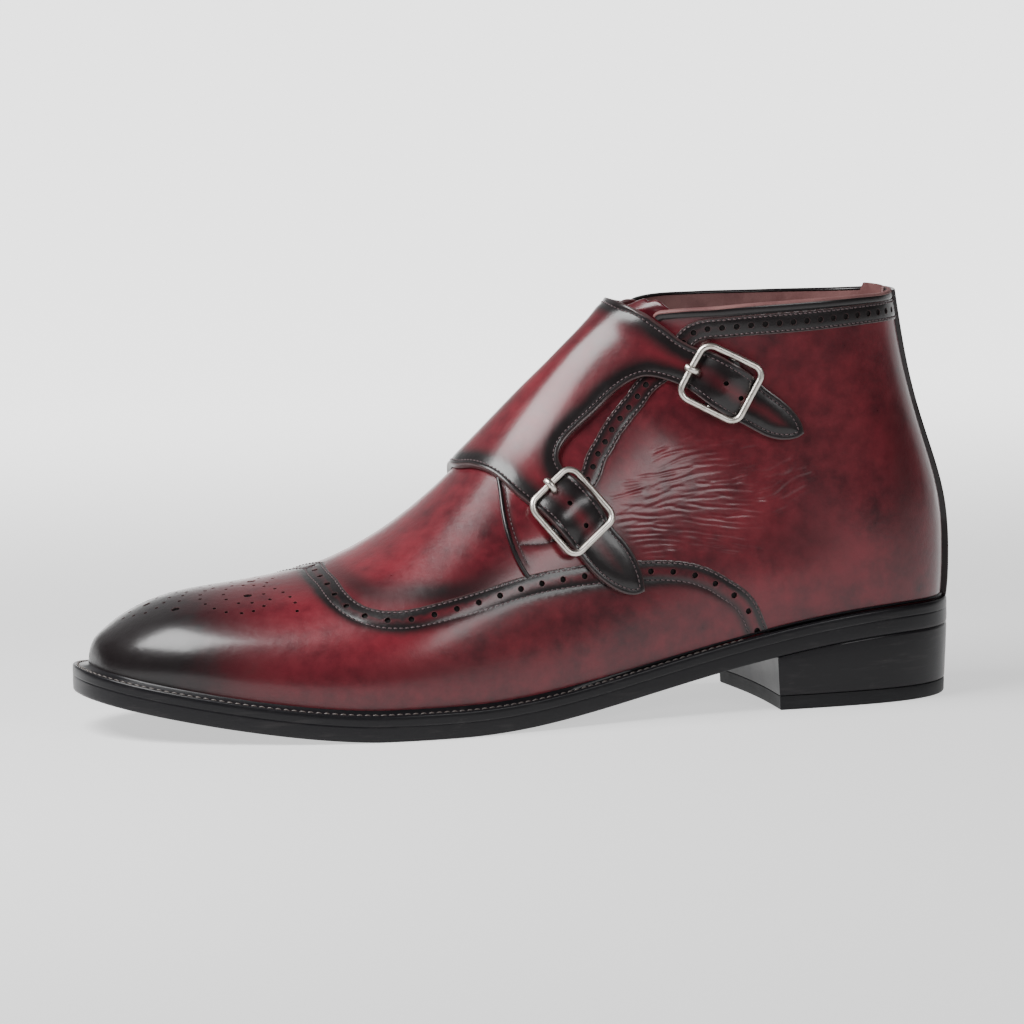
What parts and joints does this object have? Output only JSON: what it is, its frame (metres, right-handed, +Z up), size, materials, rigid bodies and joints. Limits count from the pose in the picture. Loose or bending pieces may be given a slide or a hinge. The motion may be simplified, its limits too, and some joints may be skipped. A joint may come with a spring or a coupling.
{
  "type": "double monk strap boot",
  "caption": "Left ankle boot with perforated wing band and cut-away strap flap buckled over the instep, hollow leather upper, welted sole and stacked heel.",
  "frame": {"origin": "on the floor under the heel, 35 mm ahead of the sole's back end, on the line from heel to toe", "axes": "toe towards -X, lateral (outer, buckle) side towards -Y, +Z up"},
  "size_m": [0.3061, 0.1024, 0.1427],
  "materials": {
    "burgundy_leather": "polished burgundy calf, burnished to black at edges and seams",
    "brown_lining_leather": "matt brown lining leather",
    "tan_insole_leather": "matt tan leather",
    "black_sole_leather": "black leather with a waxed, half glossy edge",
    "black_top_lift_rubber": "matt black rubber",
    "nickel_plated_buckle": "satin nickel plate"
  },
  "bodies": {
    "root": {"vamp": "burgundy_leather", "quarter_lateral": "burgundy_leather", "quarter_medial": "burgundy_leather", "strap_flap": "burgundy_leather", "buckle_tab_upper": "burgundy_leather", "buckle_tab_lower": "burgundy_leather", "tongue": "brown_lining_leather", "insole": "tan_insole_leather", "outsole": "black_sole_leather", "heel_stack": "black_sole_leather", "welt": "black_sole_leather", "top_lift": "black_top_lift_rubber", "buckle_frame_upper": "nickel_plated_buckle", "buckle_frame_lower": "nickel_plated_buckle", "prong_upper": "nickel_plated_buckle", "prong_lower": "nickel_plated_buckle"}
  },
  "joints": []
}
